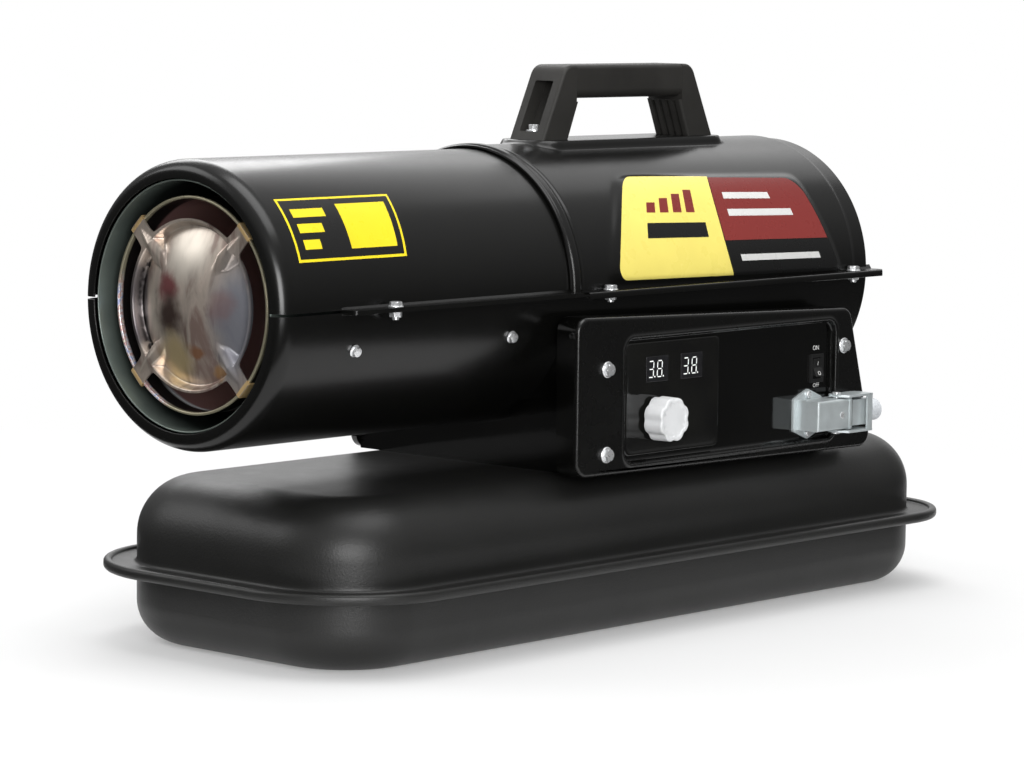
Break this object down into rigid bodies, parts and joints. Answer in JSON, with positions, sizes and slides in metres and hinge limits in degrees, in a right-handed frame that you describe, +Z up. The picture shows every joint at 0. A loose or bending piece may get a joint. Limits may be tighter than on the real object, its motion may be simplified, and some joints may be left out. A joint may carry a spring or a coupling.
{
  "type": "direct-fired diesel heater",
  "caption": "Portable direct-fired diesel heater: split tube with a flame baffle over a pressed fuel tank, side control panel with displays and knob, carrying handle on top.",
  "frame": {"origin": "centre of the fuel tank's flat bottom", "axes": "+Z up, X along the heater tube with the hot outlet towards -X, control panel on the -Y side"},
  "size_m": [0.7297, 0.302, 0.4139],
  "materials": {
    "tank_paint": "fine-textured matt charcoal powder coat",
    "shell_paint": "satin black paint",
    "cover_paint": "gloss black paint",
    "handle_plastic": "fine matt moulding grain",
    "knob_plastic": "satin light grey",
    "switch_plastic": "semi-gloss black",
    "display_plastic": "dark tinted window",
    "film_plastic": "high gloss film",
    "connector_cast": "light grey-green die-cast enamel",
    "seal_rubber": "matt black",
    "gland_plastic": "pale blue-grey",
    "liner_steel": "bright rolled steel",
    "heat_steel": "heat-tinted stainless",
    "zinc": "bright zinc plate",
    "steel": "plain ground steel",
    "aluminium": "bare sheet and cast",
    "motor_paint": "dark grey enamel",
    "brass": "machined",
    "copper": "drawn tube",
    "ceramic": "white glaze",
    "board": "solder mask",
    "cap_plastic": "fine grain black",
    "carbon": "dry carbon"
  },
  "bodies": {
    "heater_body": {"tank_upper_shell": "tank_paint", "tank_lower_pan": "tank_paint", "fuel_pickup": "brass", "drain_plug": "zinc", "filler_neck": "tank_paint", "fuel_strainer": "liner_steel", "fuel_gauge": "cap_plastic", "support_frame": "cover_paint", "side_cover": "cover_paint", "control_cover": "cover_paint", "display_modules": "display_plastic", "panel_film": "film_plastic", "thermostat": "aluminium", "switch_frame": "switch_plastic", "connector_housing": "connector_cast", "connector_seal": "seal_rubber", "connector_hood": "connector_cast", "hood_gland": "gland_plastic", "lever_pins": "zinc", "lower_shell": "shell_paint", "front_upper_shell": "shell_paint", "rear_upper_shell": "shell_paint", "handle_frame": "handle_plastic", "handle_grip": "handle_plastic", "heat_liner": "liner_steel", "flame_tube": "heat_steel", "chamber_ring": "liner_steel", "flame_baffle": "heat_steel", "burner_plate": "liner_steel", "nozzle_holder": "brass", "fuel_nozzle": "brass", "igniter": "ceramic", "flame_sensor": "switch_plastic", "motor_body": "motor_paint", "motor_bracket": "liner_steel", "pump_body": "aluminium", "pump_cover": "aluminium", "rear_guard": "shell_paint", "control_board": "board", "ignition_coil": "switch_plastic", "fuel_line": "copper", "air_line": "copper", "line_grommets": "seal_rubber", "flange_bolts": "zinc", "flange_nuts": "zinc", "side_screws": "zinc", "liner_spacers": "steel", "cover_screws": "zinc", "handle_screws": "zinc", "connector_screws": "zinc", "base_bolts": "zinc"},
    "rotor": {"motor_shaft": "steel", "fan": "aluminium", "pump_rotor": "steel", "pump_vanes": "carbon"},
    "knob": {"control_knob": "knob_plastic", "knob_spindle": "steel"},
    "rocker": {"switch_rocker": "switch_plastic"},
    "lever": {"connector_lever": "connector_cast"},
    "cap": {"fuel_cap": "cap_plastic"}
  },
  "joints": [
    {"name": "rotor_spin", "type": "hinge", "parent": "heater_body", "child": "rotor", "pos_m": [0, 0, 0.2514], "axis": [1, 0, 0], "continuous": true},
    {"name": "knob_turn", "type": "hinge", "parent": "heater_body", "child": "knob", "pos_m": [-0.0106, -0.13, 0.1577], "axis": [0, 1, 0], "range_deg": [0, 270]},
    {"name": "rocker_tilt", "type": "hinge", "parent": "heater_body", "child": "rocker", "pos_m": [0.181, -0.1228, 0.1816], "axis": [1, 0, 0], "range_deg": [0, 18]},
    {"name": "lever_swing", "type": "hinge", "parent": "heater_body", "child": "lever", "pos_m": [0.192, -0.1371, 0.147], "axis": [0, 0, -1], "range_deg": [0, 90]},
    {"name": "cap_turn", "type": "hinge", "parent": "heater_body", "child": "cap", "pos_m": [0.262, 0.056, 0.128], "axis": [0, 0, 1], "range_deg": [0, 360]}
  ]
}
